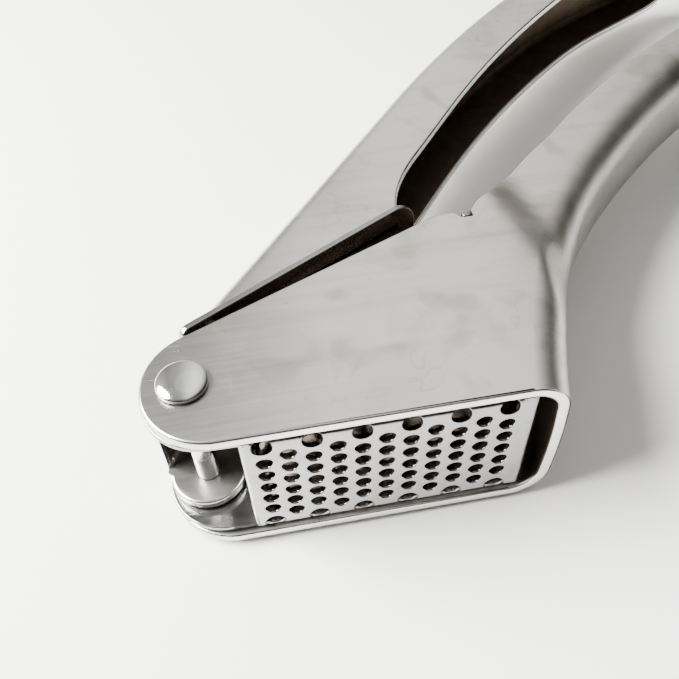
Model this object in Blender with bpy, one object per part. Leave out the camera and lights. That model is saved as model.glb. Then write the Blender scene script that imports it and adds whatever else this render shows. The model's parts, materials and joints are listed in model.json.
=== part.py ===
"""Garlic press of formed steel sheet, lying on its side.

Metres, +Z up. The pivot axis is the Z axis, the perforated face of the hopper looks along -Y, and the
origin is on the pivot axis at the underside of the lower rivet head. Lengths below are in millimetres
and angles in degrees. Outlines are drawn in plan, about the pivot axis, with the upper handle closed.
"""

import math

import bmesh
import bpy
from mathutils import Matrix, Vector

MM = 0.001

# What every piece shares
REST_OPENING = 5.5  # how far the upper handle stands open at rest
SHEET = 1.5  # of the frame and both handles
FRAME_WIDTH = 24.2  # over the two cheeks
FRONT_REACH = 9.1  # from the pivot axis to the cheeks' front edges
GAP = 0.3  # between pieces that seat on each other
RUNNING_GAP = 0.35  # between pieces that slide past each other
LAYER_GAP = 0.4  # between sheets that lie side by side on the rivet
BORE_GAP = 0.06  # radial, between the pin and the sheets that turn on it

# Hopper: perforated front, side walls with ears on the pin, end walls and a lip
HOPPER_SHEET = 0.9
HOPPER_WIDTH = FRAME_WIDTH - 2 * (SHEET + LAYER_GAP)
HOPPER_CORNER = 2.0
HOPPER_FRONT = FRONT_REACH - RUNNING_GAP
HOPPER_START = 5.5
HOPPER_LENGTH = 36.5
HOPPER_EAR_RADIUS = 7.8
HOPPER_EAR_CENTRE = (2.3, -0.5)
HOPPER_EAR_ROOT = 2.5  # how far the ears run into the side walls
HOPPER_EAR_DROP = 0.8  # of the ears' top below the cheeks' back edges
RIM_DROP = 0.5  # of the side walls' rims below the cheeks' back edges
JOINER_SKIN = 0.05  # how deep a joined piece lies inside the faces of the sheet
END_WALL_TOP = 2.0
HOLE_DIAMETER = 2.0
HOLE_COLUMNS = 11
LONG_COLUMN_HOLES = 7
FIRST_MARGIN = 2.7  # from the near wall to the first column
LAST_MARGIN = 3.8  # from the last column to the far end
HOLE_PITCH = (HOPPER_LENGTH - FIRST_MARGIN - LAST_MARGIN) / (HOLE_COLUMNS - 1)
SIDE_MARGIN = 2.1  # from a side wall to a long column's end
ROW_PITCH = (HOPPER_WIDTH - 2 * SIDE_MARGIN) / (LONG_COLUMN_HOLES - 1)
BEND_HOLE_DIAMETER = 2.5
BEND_HOLE_ANGLE = 14.0
HOLE_SIDES = 12

# Frame: two cheeks and a web, formed in one sheet with the lower handle
FRAME_CORNER = 4.6
WEB_CROWN = 0.7
LEAST_LEAN = 0.45  # cosine of the steepest slant of a section across a channel
LEAST_CORNER = 0.25
TIP_REACH = 5.3
BACK_REACH = 7.0
BACK_ANGLE = 23.5
BACK_LENGTH = HOPPER_LENGTH + 5.0
BACK_CURVE = 2.4  # from the end of the straight back edge to where the edge lies level
THROAT = 3.3  # between the hopper's front and the outside of the web
WEB_REACH = HOPPER_START + HOPPER_LENGTH + THROAT
WEB_HEADING = 74.2
LOWER_HANDLE_BENDS = ((22.3, 137.0), (28.0, 89.5), (86.0, 198.0))  # length and radius of each arc
LOWER_HANDLE_WIDTH = FRAME_WIDTH - 5.0
LOWER_HANDLE_DEPTHS = ((32.0, 13.6), (50.0, 10.6), (95.0, 8.4), (136.0, 8.4))  # place, and depth there
SHOULDER_START = (WEB_REACH + 5.5, 14.6)
SHOULDER_END = (WEB_REACH + 3.5, 29.0)
SHOULDER_BLEND = 8.0
SHOULDER_RISE = (0.9, 2.0)  # how the edge leaves the notch towards the lower handle
NOTCH_LEAD = 2.1  # from the level edge's start to the notch
NOTCH_WIDTH = 2.8
NOTCH_SLOPE = 1.1
NOTCH_DEPTH = 1.6
HANDLE_END_RADIUS = 6.4
HANDLE_END_LENGTH = 14.0
HANDLE_END_WIDTH = 0.45  # width of a handle at its very end, as a share of its full width
HANDLE_END_SWING = 84.0
HANDLE_END_LIP = 0.8  # how far the free edge follows round the end, as a share of its radius
END_STEPS = 6

# Stretches of the web's line over which the frame's free edge runs
TIP_STRETCH = (0.0, 7.0)
BACK_STRETCH = (10.0, 19.0)
LEVEL_STRETCH = (19.6, 21.0)
NOTCH_STRETCH = (22.0, 23.4)
SHOULDER_STRETCH = (24.5, 30.5)

# Upper handle: a channel whose sides are the ears on the pin
UPPER_HANDLE_WIDTH = HOPPER_WIDTH - 2 * (HOPPER_SHEET + LAYER_GAP)
UPPER_HANDLE_CORNER = 2.6
UPPER_HANDLE_HEADING = 46.0
UPPER_HANDLE_REACH = 7.3  # from the pivot axis to the back of the channel
UPPER_HANDLE_BENDS = ((70.4, 0.0), (55.0, 250.0), (36.0, 110.0))  # radius 0 is straight
UPPER_HANDLE_DEPTHS = ((58.0, 11.2), (90.0, 10.6), (161.4, 9.4))
NOSE_RADIUS = 6.0
NOSE_ADVANCE = 1.6
NOSE_END = 150.0
EAR_RADIUS = 5.2
EAR_START, EAR_NOSE, EAR_UNDER, EAR_END = 156.0, 210.0, 228.0, 372.0  # angles round the ears
FLARE_LEAD = 7.5  # how far the free edge keeps its first direction beyond the plate
FLARE_ANGLE = 62.0  # that direction, from the frame's back edge

# Stretches of the web's line over which the upper handle's free edge runs
EAR_STRETCH = (0.6, 4.5)
FORK_STRETCH = (5.5, 7.5)
PLATE_STRETCH = (8.5, 42.0)
FLARE_STRETCH = (44.5, 56.0)

# Plunger: a plate across the handle and a box in the hopper
PLATE_THICKNESS = 0.9
PLATE_START = 4.0
PLATE_LENGTH = HOPPER_LENGTH + 3.7
PLATE_CORNER = 4.0
PLATE_FORK = 6.3
BOX_SHEET = 1.0
BOX_CORNER = 1.2
BOX_NEAR_GAP = 0.4  # between the box and the hopper's near wall

# Rivet through everything
PIN_DIAMETER = 3.3
HEAD_DIAMETER = 6.4
HEAD_RIM = 0.45
HEAD_HEIGHT = 1.15
CAP_HEIGHT = 0.9
CAP_LAND = 2.0  # radius of the flat on the lower head
STUD_DIAMETER = 2.1
STUD_LENGTH = 6.0
SEAT_GAP = 0.2
PIN_SIDES = 28
BORE_SIDES = 28

MID_HEIGHT = CAP_HEIGHT + SEAT_GAP + FRAME_WIDTH / 2  # the middle plane above the origin

STEEL_SATIN = ("satin_steel", (0.56, 0.55, 0.53), 0.36)
STEEL_BRIGHT = ("bright_steel", (0.64, 0.65, 0.67), 0.22)
STEEL_MIRROR = ("mirror_steel", (0.74, 0.74, 0.75), 0.08)


def direction(degrees):
    return Vector((math.cos(math.radians(degrees)), math.sin(math.radians(degrees))))


def arc(centre, radius, start, end, steps):
    """Points on an arc in plan, both ends included."""
    return [
        Vector(centre) + radius * direction(start + (end - start) * i / steps)
        for i in range(steps + 1)
    ]


def spread(start, end, steps):
    """Points on a straight line in plan, without its first."""
    return [Vector(start).lerp(Vector(end), i / steps) for i in range(1, steps + 1)]


def curve_between(start, guide, end, steps):
    """Points on a parabola that leaves start and reaches end along the lines to guide."""
    points = []
    for i in range(1, steps + 1):
        t = i / steps
        points.append(
            (1 - t) ** 2 * Vector(start) + 2 * t * (1 - t) * Vector(guide) + t**2 * Vector(end)
        )
    return points


def between(stops, place):
    """The value at place on a line through the stops, level beyond both ends."""
    if place <= stops[0][0]:
        return stops[0][1]
    for (a, low), (b, high) in zip(stops, stops[1:]):
        if place <= b:
            return low + (high - low) * (place - a) / (b - a)
    return stops[-1][1]


def smooth(t):
    t = min(max(t, 0.0), 1.0)
    return t * t * (3 - 2 * t)


class Track:
    """A line in plan made of straights and right-hand arcs that follow on smoothly."""

    def __init__(self, start, heading, bends):
        self.start = Vector(start)
        self.heading = heading
        self.bends = bends
        self.length = sum(length for length, _ in bends)

    def at(self, place):
        """The point at this distance along the track, and the heading there."""
        point = self.start.copy()
        heading = self.heading
        for length, radius in self.bends:
            run = min(place, length)
            if radius:
                centre = point + radius * direction(heading - 90)
                heading -= math.degrees(run / radius)
                point = centre + radius * direction(heading + 90)
            else:
                point = point + run * direction(heading)
            place -= run
        return point, heading


def steel(look):
    name, colour, roughness = look
    material = bpy.data.materials.get(name)
    if material is None:
        material = bpy.data.materials.new(name)
        material.use_nodes = True
        shader = material.node_tree.nodes["Principled BSDF"]
        shader.inputs["Base Color"].default_value = (*colour, 1)
        shader.inputs["Metallic"].default_value = 1.0
        shader.inputs["Roughness"].default_value = roughness
    return material


def add_object(name, shape, look=None, parent=None, at=(0, 0, 0)):
    """Turns a bmesh in millimetres into a named object whose origin is at a point of its parent."""
    bmesh.ops.recalc_face_normals(shape, faces=shape.faces)
    bmesh.ops.scale(shape, vec=(MM, MM, MM), verts=shape.verts)
    mesh = bpy.data.meshes.new(name)
    shape.to_mesh(mesh)
    shape.free()
    piece = bpy.data.objects.new(name, mesh)
    bpy.context.scene.collection.objects.link(piece)
    piece.location = Vector(at) * MM
    if look:
        mesh.materials.append(steel(look))
        mesh.shade_smooth()
        mesh.set_sharp_from_angle(angle=math.radians(35))
        piece.parent = parent
    else:
        piece.hide_render = True
        piece.display_type = "WIRE"
    return piece


def hinge(name, parent=None, turned=0.0, height=0.0):
    """An empty on the pivot axis that carries the pieces that turn together."""
    empty = bpy.data.objects.new(name, None)
    bpy.context.scene.collection.objects.link(empty)
    empty.parent = parent
    empty.location.z = height * MM
    empty.rotation_euler.z = math.radians(turned)
    return empty


def carve(piece, cutter, operation="DIFFERENCE"):
    cutter.parent = piece.parent
    modifier = piece.modifiers.new(cutter.name, "BOOLEAN")
    modifier.operation = operation
    modifier.object = cutter
    modifier.solver = "EXACT"


def prism(outline, low, high):
    """A bmesh of a plan outline, extruded between two heights."""
    shape = bmesh.new()
    face = shape.faces.new([shape.verts.new((p[0], p[1], low)) for p in outline])
    grown = bmesh.ops.extrude_face_region(shape, geom=[face])["geom"]
    risen = [v for v in grown if isinstance(v, bmesh.types.BMVert)]
    bmesh.ops.translate(shape, vec=(0, 0, high - low), verts=risen)
    return shape


def soften(shape, radius, steps, chosen):
    """Rounds the edges whose two ends are both chosen."""
    edges = [e for e in shape.edges if all(chosen(v.co) for v in e.verts)]
    bmesh.ops.bevel(
        shape, geom=edges, offset=radius, offset_type="OFFSET", segments=steps, profile=0.5,
        affect="EDGES", clamp_overlap=True,
    )


def drum(radius, low, high, sides):
    return prism(arc((0, 0), radius, 0, 360 * (1 - 1 / sides), sides - 1), low, high)


def turned(profile, sides):
    """A bmesh spun about the pivot axis from (radius, height) points that run from axis to axis."""
    shape = bmesh.new()
    verts = [shape.verts.new((radius, 0, height)) for radius, height in profile]
    edges = [shape.edges.new(pair) for pair in zip(verts, verts[1:])]
    bmesh.ops.spin(
        shape, geom=verts + edges, cent=(0, 0, 0), axis=(0, 0, 1), angle=math.tau, steps=sides,
        use_merge=True,
    )
    bmesh.ops.remove_doubles(shape, verts=shape.verts, dist=1e-4)
    return shape


def section(station, half_width, inset, bend, flange_steps, bend_steps, web_steps):
    """One line across a channel, from its upper free edge round the web to its lower free edge."""
    web, inward, edge, share = station
    along = (edge - web).normalized()
    depth = (edge - web).length
    lean = max(along.dot(inward), LEAST_LEAN)
    corner = max(min(bend, 0.6 * depth * lean) - inset, LEAST_CORNER)
    start = inset / lean
    turn = start + corner / lean
    upper = []

    def place(distance, drop, crown):
        point = web + along * distance
        full = share * half_width(point)
        height = full - inset - corner * drop
        bow = WEB_CROWN * crown * (1 - (height / full) ** 2) / lean
        upper.append((point - along * bow, height))

    for i in range(flange_steps):
        place(depth + (turn - depth) * i / flange_steps, 0, 0)
    for i in range(bend_steps + 1):
        angle = math.radians(90 * i / bend_steps)
        place(start + corner * (1 - math.sin(angle)) / lean, 1 - math.cos(angle), math.sin(angle))
    face = web + along * start
    full = share * half_width(face)
    reach = upper[-1][1]
    middle = []
    for i in range(1, web_steps):
        height = reach * (1 - 2 * i / web_steps)
        middle.append((face - along * WEB_CROWN * (1 - (height / full) ** 2) / lean, height))
    lower = [(point, -height) for point, height in reversed(upper)]
    return [(point.x, point.y, height) for point, height in upper + middle + lower]


def channel(stations, half_width, bend, flange_steps, bend_steps=4, web_steps=4):
    """A bmesh of a folded sheet, as an outer and an inner skin joined along their rims."""
    shape = bmesh.new()
    skins = []
    for inset in (0.0, SHEET):
        lines = [
            section(station, half_width, inset, bend, flange_steps, bend_steps, web_steps)
            for station in stations
        ]
        skins.append([[shape.verts.new(point) for point in line] for line in lines])
    outer, inner = skins
    for skin in skins:
        for line, following in zip(skin, skin[1:]):
            for i in range(len(line) - 1):
                shape.faces.new((line[i], line[i + 1], following[i + 1], following[i]))
    rims = [(outer[i], inner[i]) for i in (0, -1)]
    rims += [([line[i] for line in outer], [line[i] for line in inner]) for i in (0, -1)]
    for a, b in rims:
        for i in range(len(a) - 1):
            shape.faces.new((a[i], a[i + 1], b[i + 1], b[i]))
    return shape


def end_share(track, place):
    """How much of its full width a handle keeps at this distance along its track."""
    taper = HANDLE_END_LENGTH + HANDLE_END_RADIUS * math.pi / 2
    t = min(max((place - track.length + HANDLE_END_LENGTH) / taper, 0.0), 1.0)
    return HANDLE_END_WIDTH + (1 - HANDLE_END_WIDTH) * math.sqrt(1 - t * t)


def stations_over(track, side, stretches):
    """Stations for runs of free-edge points, each run spread over its stretch of the track."""
    stations = []
    for edges, (start, end) in stretches:
        for i, edge in enumerate(edges):
            web, heading = track.at(start + (end - start) * i / (len(edges) - 1))
            stations.append((web, direction(heading + 90 * side), Vector(edge), 1.0))
    return stations


def handle_stations(track, side, first, depths, steps):
    """Stations along a handle and round its end; side is 1 where it opens to the left, else -1."""
    stations = []
    for i in range(steps + 1):
        place = first + (track.length - first) * i / steps
        web, heading = track.at(place)
        inward = direction(heading + 90 * side)
        edge = web + between(depths, place) * inward
        stations.append((web, inward, edge, end_share(track, place)))
    web, heading = track.at(track.length)
    inward = direction(heading + 90 * side)
    ahead = direction(heading)
    centre = web + HANDLE_END_RADIUS * inward
    depth = between(depths, track.length)
    for i in range(1, END_STEPS + 1):
        swing = math.radians(HANDLE_END_SWING * i / END_STEPS)
        outward = ahead * math.sin(swing) - inward * math.cos(swing)
        edge = web + depth * inward + HANDLE_END_LIP * HANDLE_END_RADIUS * math.sin(swing) * ahead
        share = end_share(track, track.length + HANDLE_END_RADIUS * swing)
        stations.append((centre + HANDLE_END_RADIUS * outward, -outward, edge, share))
    return stations


def tip_circle():
    """Centre and radius of the round tip that meets the frame's front and back edges."""
    slope = math.radians(BACK_ANGLE)
    radius = (BACK_REACH - TIP_REACH * math.sin(slope) + FRONT_REACH * math.cos(slope)) / (
        1 + math.cos(slope) - math.sin(slope)
    )
    return Vector((radius - TIP_REACH, radius - FRONT_REACH)), radius


def back_line(place, reach):
    """A point this far along the frame's back edge, at this distance from the pivot axis."""
    return place * direction(BACK_ANGLE) + reach * direction(BACK_ANGLE + 90)


def back_corner():
    """Where the cheeks' sloping back edge turns level, just short of the notch."""
    return back_line(BACK_LENGTH + BACK_CURVE, BACK_REACH)


def notch():
    """The notch's left, right, top and bottom."""
    corner = back_corner()
    left = corner.x + NOTCH_LEAD
    return left, left + NOTCH_WIDTH, corner.y, corner.y - NOTCH_DEPTH


def frame_half_width(point):
    """Half the width over the cheeks, which steps down to the handle's along the shoulder."""
    start, end = Vector(SHOULDER_START), Vector(SHOULDER_END)
    line = (end - start).normalized()
    past = (point - start).dot(Vector((line.y, -line.x)))
    step = smooth(past / SHOULDER_BLEND + 0.5)
    return (FRAME_WIDTH + (LOWER_HANDLE_WIDTH - FRAME_WIDTH) * step) / 2


def frame(parent):
    """The cheeks, the web and the lower handle, with the rivet's bores and the hopper's notches."""
    track = Track((WEB_REACH, -FRONT_REACH), WEB_HEADING, LOWER_HANDLE_BENDS)
    centre, radius = tip_circle()
    left, right, top, bottom = notch()
    first, depth = LOWER_HANDLE_DEPTHS[0]
    web, heading = track.at(first)
    handle_start = web + depth * direction(heading + 90)
    back_start = back_line(centre.dot(direction(BACK_ANGLE)), BACK_REACH)
    back_end = back_line(BACK_LENGTH, BACK_REACH)
    rise = Vector((right, top)) + Vector(SHOULDER_RISE)
    stations = stations_over(track, 1, (
        (arc(centre, radius, 270, 90 + BACK_ANGLE, 16), TIP_STRETCH),
        (spread(back_start, back_end, 4), BACK_STRETCH),
        (curve_between(back_end, back_corner(), (left, top), 3), LEVEL_STRETCH),
        (spread((left, top), (right, top), 2), NOTCH_STRETCH),
        (curve_between((right, top), rise, handle_start, 5)[:-1], SHOULDER_STRETCH),
    ))
    stations += handle_stations(track, 1, first, LOWER_HANDLE_DEPTHS, 20)
    piece = add_object(
        "frame_with_lower_handle", channel(stations, frame_half_width, FRAME_CORNER, 5), STEEL_SATIN, parent
    )
    carve(piece, bore("rivet_bores_cutter", PIN_DIAMETER / 2 + BORE_GAP))
    cut = [
        (left, top + 5), (left, top), (left + NOTCH_SLOPE, bottom), (right, bottom), (right, top + 5),
    ]
    carve(piece, add_object("notches_cutter", prism(cut, -FRAME_WIDTH, FRAME_WIDTH)))
    return piece


def bore(name, radius):
    return add_object(name, drum(radius, -FRAME_WIDTH, FRAME_WIDTH, BORE_SIDES))


def upper_handle(parent):
    """The channel that carries the plunger; its sides reach past the rivet as ears."""
    half = UPPER_HANDLE_WIDTH / 2
    back = direction(UPPER_HANDLE_HEADING + 90)
    ahead = direction(UPPER_HANDLE_HEADING)
    nose = back * (UPPER_HANDLE_REACH - NOSE_RADIUS) + ahead * NOSE_ADVANCE
    track = Track(nose + back * NOSE_RADIUS, UPPER_HANDLE_HEADING, UPPER_HANDLE_BENDS)
    seat = plate_reach() + PLATE_THICKNESS + GAP
    fork = PLATE_START + PLATE_FORK - GAP
    plate_end = PLATE_START + PLATE_LENGTH - PLATE_CORNER / 2
    first, depth = UPPER_HANDLE_DEPTHS[0]
    web, heading = track.at(first)
    free_edge = web + depth * direction(heading - 90)
    turns = arc(nose, NOSE_RADIUS, NOSE_END, UPPER_HANDLE_HEADING + 90, 3)
    ear = arc((0, 0), EAR_RADIUS, EAR_START, EAR_NOSE, 3)
    stations = [(turn, (nose - turn).normalized(), edge, 1.0) for turn, edge in zip(turns, ear)]
    slot_end = back_line(fork, plate_reach())
    seat_start = back_line(fork, seat)
    seat_end = back_line(plate_end, seat)
    flare = seat_end + FLARE_LEAD * direction(BACK_ANGLE + FLARE_ANGLE)
    stations += stations_over(track, -1, (
        (arc((0, 0), EAR_RADIUS, EAR_UNDER, EAR_END, 8), EAR_STRETCH),
        (spread(EAR_RADIUS * direction(EAR_END), slot_end, 2), FORK_STRETCH),
        ([seat_start, *spread(seat_start, seat_end, 7)], PLATE_STRETCH),
        (curve_between(seat_end, flare, free_edge, 7)[:-1], FLARE_STRETCH),
    ))
    stations += handle_stations(track, -1, first, UPPER_HANDLE_DEPTHS, 18)
    shape = channel(stations, lambda point: half, UPPER_HANDLE_CORNER, 1, 4, 2)
    piece = add_object("upper_handle", shape, STEEL_SATIN, parent)
    carve(piece, bore("handle_bores_cutter", PIN_DIAMETER / 2 + BORE_GAP))
    return piece


def plate_reach():
    """From the pivot axis to the plunger plate's front face, which closes onto the cheeks' edges."""
    return BACK_REACH + RUNNING_GAP / 2


def plunger_plate(parent):
    """A plate as wide as the frame, forked at its near end round the handle's sides."""
    half = FRAME_WIDTH / 2
    slot = UPPER_HANDLE_WIDTH / 2 + GAP
    end = PLATE_START + PLATE_LENGTH
    fork = PLATE_START + PLATE_FORK
    prong = (half - slot) / 2
    outline = [
        *arc((end - PLATE_CORNER, -half + PLATE_CORNER), PLATE_CORNER, 270, 360, 6),
        *arc((end - PLATE_CORNER, half - PLATE_CORNER), PLATE_CORNER, 0, 90, 6),
        *arc((PLATE_START + prong, half - prong), prong, 90, 270, 6),
        (fork, slot),
        (fork, -slot),
        *arc((PLATE_START + prong, prong - half), prong, 90, 270, 6),
    ]
    shape = prism(outline, -PLATE_THICKNESS, 0)
    soften(shape, PLATE_THICKNESS / 4, 1, lambda point: True)
    piece = add_object("plunger_plate", shape, STEEL_BRIGHT, parent)
    piece.rotation_euler = (math.radians(90), 0, math.radians(BACK_ANGLE))
    piece.location = (back_line(0, plate_reach()) * MM).to_3d()
    return piece


def plunger_box(parent):
    """A sheet box behind the perforations, open towards the plate that it hangs from."""
    half = hopper_inside() - RUNNING_GAP
    near = HOPPER_START + HOPPER_SHEET + BOX_NEAR_GAP
    front = HOPPER_SHEET + RUNNING_GAP - HOPPER_FRONT
    far = far_wall_radius() - HOPPER_SHEET - RUNNING_GAP
    seat = plate_reach() - GAP

    def outline(inset, reach):
        radius = far - inset
        low = math.degrees(math.asin((front + inset) / radius))
        high = BACK_ANGLE + math.degrees(math.asin(reach / radius))
        slope = math.tan(math.radians(BACK_ANGLE))
        rise = reach / math.cos(math.radians(BACK_ANGLE)) + slope * (near + inset)
        side = near + inset
        return [(side, rise), (side, front + inset), *arc((0, 0), radius, low, high, 8)]

    shape = prism(outline(0, seat), -half, half)
    soften(shape, BOX_CORNER, 2, lambda point: point.y < front + 0.01)
    piece = add_object("plunger_box", shape, STEEL_BRIGHT, parent)
    hollow = prism(outline(BOX_SHEET, seat + 1), BOX_SHEET - half, half - BOX_SHEET)
    carve(piece, add_object("plunger_hollow_cutter", hollow))
    return piece


def hopper_inside():
    return HOPPER_WIDTH / 2 - HOPPER_SHEET


def far_wall_radius():
    """The far wall is round the pivot axis, so that the plunger sweeps along it."""
    return math.hypot(HOPPER_START + HOPPER_LENGTH, HOPPER_FRONT)


def rim_height(x, inset):
    """Height in plan of the hopper's rim, a little below the cheeks' back edges."""
    slope = math.radians(BACK_ANGLE)
    return (BACK_REACH - inset) / math.cos(slope) + x * math.tan(slope)


def hopper(parent):
    """A perforated front with bent sides, whose ears turn on the rivet, and a wall at each end."""
    half, inside = HOPPER_WIDTH / 2, hopper_inside()
    near = HOPPER_START
    radius = far_wall_radius()
    low = -math.degrees(math.asin(HOPPER_FRONT / radius))
    high = BACK_ANGLE + math.degrees(math.asin((BACK_REACH - RIM_DROP) / radius))
    tray = [(near, rim_height(near, RIM_DROP)), (near, -HOPPER_FRONT), *arc((0, 0), radius, low, high, 10)]
    shape = prism(tray, -half, half)
    soften(shape, HOPPER_CORNER, 4, lambda point: point.y < 0.01 - HOPPER_FRONT)
    piece = add_object("hopper", shape, STEEL_BRIGHT, parent)

    bend = HOPPER_CORNER - HOPPER_SHEET
    wall = near + HOPPER_SHEET
    inner_radius = radius - HOPPER_SHEET
    inner_low = -math.degrees(math.asin((HOPPER_FRONT - HOPPER_SHEET) / inner_radius))
    chamber = [
        (wall, 60.0), (wall, HOPPER_SHEET - HOPPER_FRONT), *arc((0, 0), inner_radius, inner_low, 60, 14),
    ]
    shape = prism(chamber, -inside, inside)
    soften(shape, bend, 3, lambda point: point.y < 0.01 + HOPPER_SHEET - HOPPER_FRONT)
    carve(piece, add_object("chamber_cutter", shape))
    left, right = near - 5, wall + 1
    above = [(left, 60), (left, END_WALL_TOP), (right, END_WALL_TOP), (right, 60)]
    carve(piece, add_object("end_wall_cutter", prism(above, -inside, inside)))

    for side in (-1, 1):
        carve(piece, hopper_ear(side), "UNION")
    carve(piece, lip(), "UNION")
    carve(piece, bore("hopper_bores_cutter", PIN_DIAMETER / 2 + BORE_GAP))
    carve(piece, perforations())
    return piece


def hopper_ear(side):
    """A flat ear that grows out of a side wall and rounds the rivet."""
    root = HOPPER_START + HOPPER_EAR_ROOT
    centre = Vector(HOPPER_EAR_CENTRE)
    outline = [
        *arc(centre, HOPPER_EAR_RADIUS, 90 + BACK_ANGLE, 270, 12),
        (root, centre.y - HOPPER_EAR_RADIUS),
        (root, rim_height(root, HOPPER_EAR_DROP)),
    ]
    heights = sorted((side * (hopper_inside() + JOINER_SKIN), side * (HOPPER_WIDTH / 2 - JOINER_SKIN)))
    name = "upper_ear_joiner" if side > 0 else "lower_ear_joiner"
    return add_object(name, prism(outline, *heights))


def lip():
    """The far wall's lip, whose two ends rest in the cheeks' notches."""
    left, right, top, bottom = notch()
    low = bottom + GAP
    high = low + HOPPER_SHEET
    start = math.sqrt((far_wall_radius() - HOPPER_SHEET / 3) ** 2 - high**2)
    width = FRAME_WIDTH / 2 - SHEET - GAP
    ends = FRAME_WIDTH / 2
    near, far = left + NOTCH_SLOPE + GAP, right - GAP
    # Drawn in the lip's own plane: along the press, and across it.
    outline = [
        (start, -width), (near, -width), (near, -ends), (far, -ends),
        (far, ends), (near, ends), (near, width), (start, width),
    ]
    shape = prism(outline, low, high)
    upright = Matrix.Rotation(math.radians(-90), 3, "X")
    bmesh.ops.rotate(shape, cent=(0, 0, 0), verts=shape.verts, matrix=upright)
    return add_object("lip_joiner", shape)


def perforations():
    """All the holes as one cutter: staggered columns, with the long columns' ends on the bends."""
    cutter = bmesh.new()
    bend_centre = HOPPER_WIDTH / 2 - HOPPER_CORNER
    for column in range(HOLE_COLUMNS):
        x = HOPPER_START + FIRST_MARGIN + HOLE_PITCH * column
        holes = LONG_COLUMN_HOLES - column % 2
        for row in range(holes):
            z = ROW_PITCH * (row - (holes - 1) / 2)
            on_bend = column % 2 == 0 and row in (0, holes - 1)
            if on_bend:
                z = math.copysign(bend_centre, z)
                tilt = math.copysign(BEND_HOLE_ANGLE, z)
                diameter, centre = BEND_HOLE_DIAMETER, HOPPER_CORNER - HOPPER_FRONT
                start, end = HOPPER_CORNER - HOPPER_SHEET - 0.6, HOPPER_CORNER + 1
            else:
                tilt, diameter, centre = 0, HOLE_DIAMETER, -HOPPER_FRONT
                start, end = -HOPPER_SHEET - 1, 1
            spin = Matrix.Rotation(math.radians(90 - tilt), 4, "X")
            middle = Matrix.Translation((0, 0, (start + end) / 2))
            punch = Matrix.Translation((x, centre, z)) @ spin @ middle
            bmesh.ops.create_cone(
                cutter, cap_ends=True, segments=HOLE_SIDES, radius1=diameter / 2, radius2=diameter / 2,
                depth=end - start, matrix=punch,
            )
    return add_object("perforation_cutter", cutter)


def dome(radius, rim, height, land, steps):
    """Profile points of a rivet head, from its land on the axis side out to its rim."""
    points = []
    for i in range(steps + 1):
        angle = math.radians(90 * i / steps)
        points.append((land + (radius - land) * math.sin(angle), rim + (height - rim) * math.cos(angle)))
    return points


def pivot_pin(parent):
    """The tubular half of the rivet, with the upper domed head."""
    seat = FRAME_WIDTH / 2 + SEAT_GAP
    head = [(r, seat + z) for r, z in dome(HEAD_DIAMETER / 2, HEAD_RIM, HEAD_HEIGHT, 0, 6)]
    shank, tube = PIN_DIAMETER / 2, STUD_DIAMETER / 2 + BORE_GAP
    foot = -FRAME_WIDTH / 2
    profile = [
        *head, (HEAD_DIAMETER / 2, seat), (shank, seat), (shank, foot), (tube, foot),
        (tube, foot + STUD_LENGTH + GAP), (0, foot + STUD_LENGTH + GAP),
    ]
    return add_object("pivot_pin", turned(profile, PIN_SIDES), STEEL_MIRROR, parent)


def pivot_stud(parent):
    """The solid half of the rivet, pressed into the pin, with the lower head that the press lies on."""
    seat = -FRAME_WIDTH / 2 - SEAT_GAP
    head = [(r, seat - z) for r, z in dome(HEAD_DIAMETER / 2, HEAD_RIM, CAP_HEIGHT, CAP_LAND, 4)]
    stud = STUD_DIAMETER / 2
    profile = [
        (0, STUD_LENGTH - FRAME_WIDTH / 2), (stud, STUD_LENGTH - FRAME_WIDTH / 2), (stud, seat),
        (HEAD_DIAMETER / 2, seat), *reversed(head), (0, head[0][1]),
    ]
    return add_object("pivot_stud", turned(profile, PIN_SIDES), STEEL_MIRROR, parent)


def main():
    for left_over in list(bpy.data.objects):
        bpy.data.objects.remove(left_over)
    axis = hinge("pivot_axis", height=MID_HEIGHT)
    hopper_hinge = hinge("hopper_hinge", axis)
    handle_hinge = hinge("handle_hinge", hopper_hinge, turned=REST_OPENING)
    frame(axis)
    pivot_pin(axis)
    pivot_stud(axis)
    hopper(hopper_hinge)
    upper_handle(handle_hinge)
    plunger_plate(handle_hinge)
    plunger_box(handle_hinge)


main()
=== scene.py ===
"""Finished looks of a bent-sheet garlic press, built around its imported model.

Lengths inside the outlines are in millimetres from the rivet's middle, and angles are in degrees. The
upper handle is drawn closed and is then turned to the opening at which the press lies.
"""

import json
import math

import bmesh
import bpy
from bpy.props import FloatProperty, FloatVectorProperty, IntProperty, PointerProperty
from mathutils import Matrix, Vector


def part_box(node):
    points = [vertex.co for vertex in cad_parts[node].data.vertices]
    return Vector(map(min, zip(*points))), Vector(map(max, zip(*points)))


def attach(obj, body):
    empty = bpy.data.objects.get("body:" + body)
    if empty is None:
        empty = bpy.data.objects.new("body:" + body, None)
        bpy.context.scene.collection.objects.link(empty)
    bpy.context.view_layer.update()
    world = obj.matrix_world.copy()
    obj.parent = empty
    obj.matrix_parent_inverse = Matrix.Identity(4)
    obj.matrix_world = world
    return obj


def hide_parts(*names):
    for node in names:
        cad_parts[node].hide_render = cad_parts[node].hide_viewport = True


bl_info = {
    "name": "Garlic press",
    "version": (1, 0, 0),
    "blender": (4, 5, 0),
    "location": "View3D > Sidebar > Garlic press",
    "description": "Builds the steel pieces of a garlic press and the stage it lies on",
    "category": "Object",
}

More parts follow.
